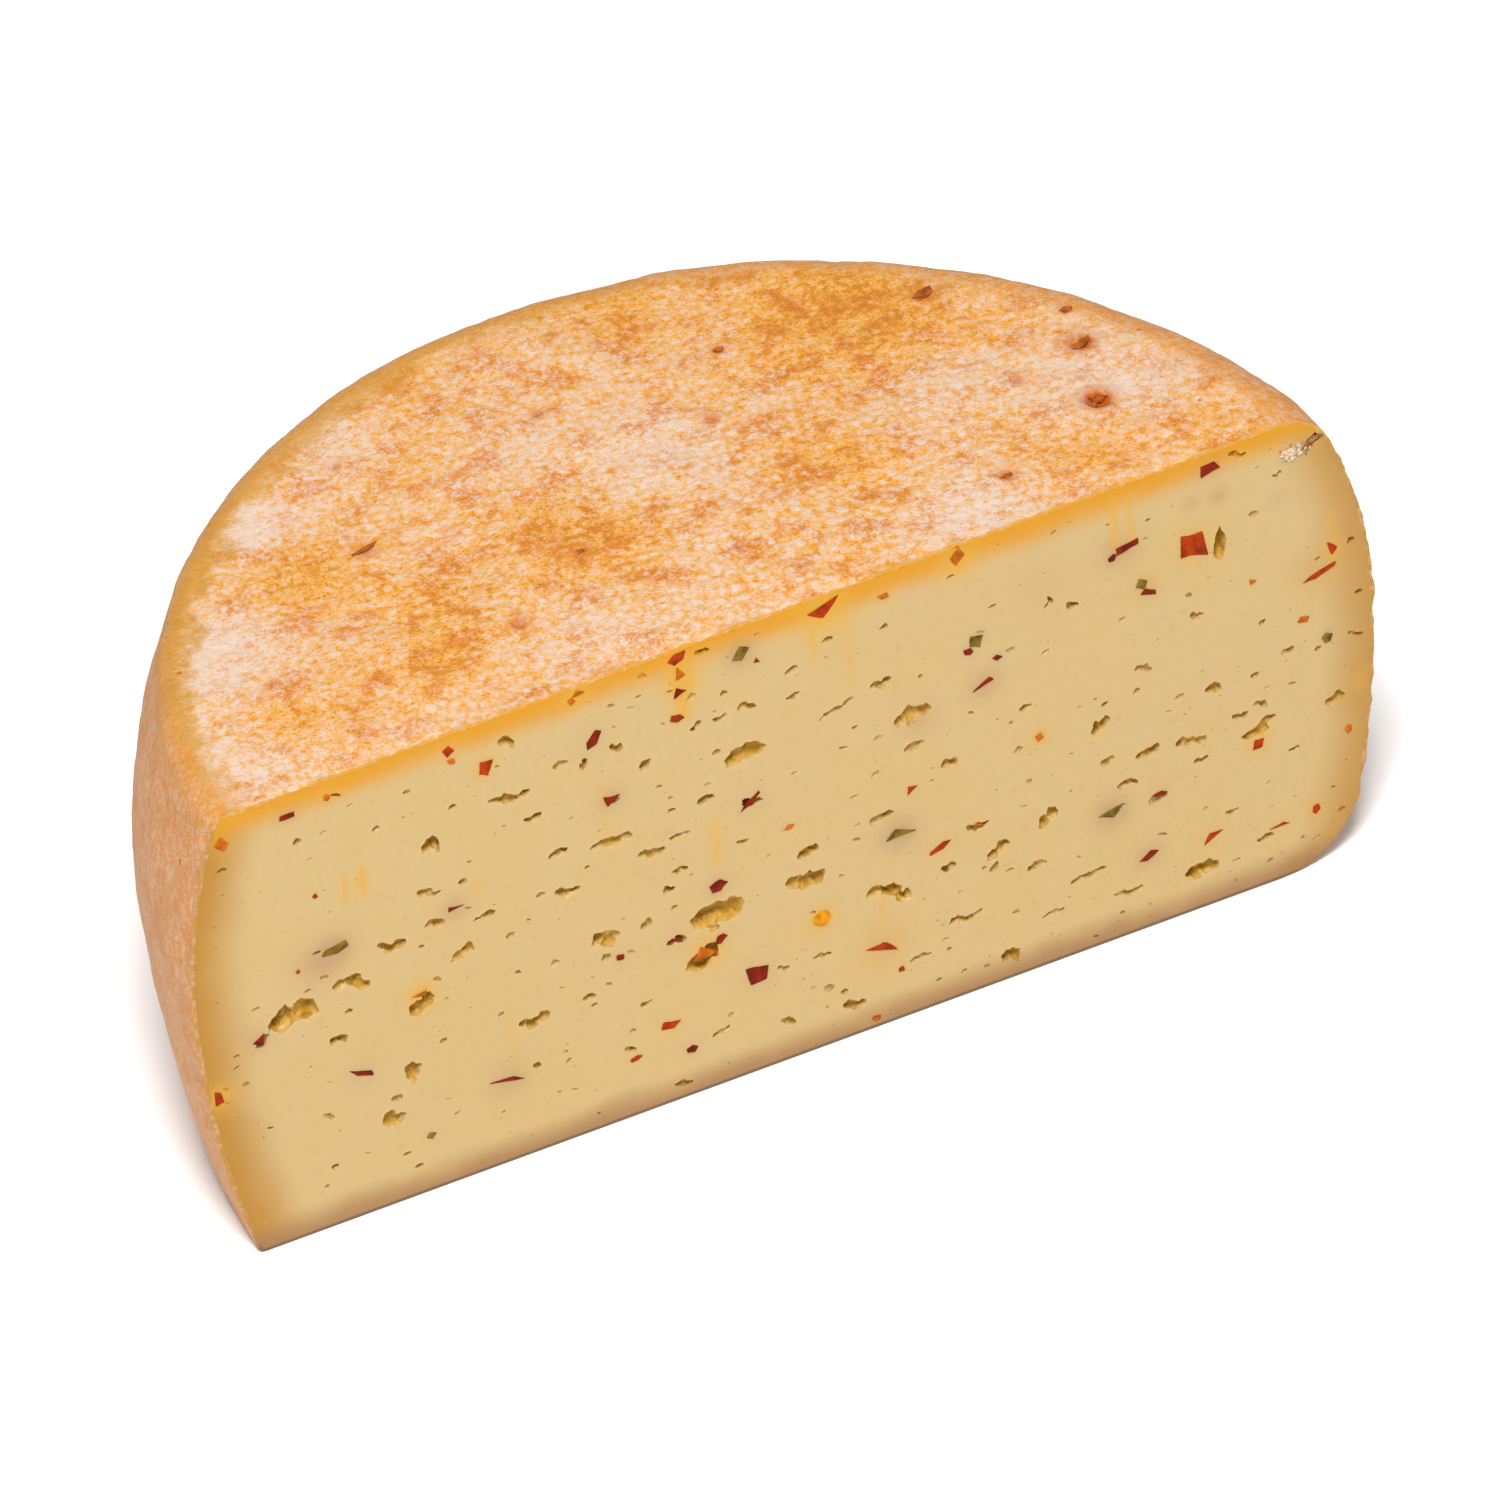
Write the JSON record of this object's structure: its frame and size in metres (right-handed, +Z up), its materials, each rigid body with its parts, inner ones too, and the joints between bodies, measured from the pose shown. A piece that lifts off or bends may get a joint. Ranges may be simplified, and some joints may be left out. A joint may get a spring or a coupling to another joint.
{
  "type": "half wheel of cheese with chilli flakes",
  "caption": "Half of a small round semi-hard cheese wheel, cut straight down: bulging mottled rind, pale paste with small eyes and red pepper flakes.",
  "frame": {"origin": "on the table under the middle of the half wheel's bounding box", "axes": "+X along the cut's long edge, the cut face looks along -Y, +Z up along the wheel's axis"},
  "size_m": [0.2424, 0.1234, 0.1045],
  "materials": {
    "cheese": "waxy, half matt: a mottled orange-tan rind with pale bloom, and pale yellow paste on the cut face"
  },
  "bodies": {
    "root": {"cheese_half_wheel": "cheese"}
  },
  "joints": []
}
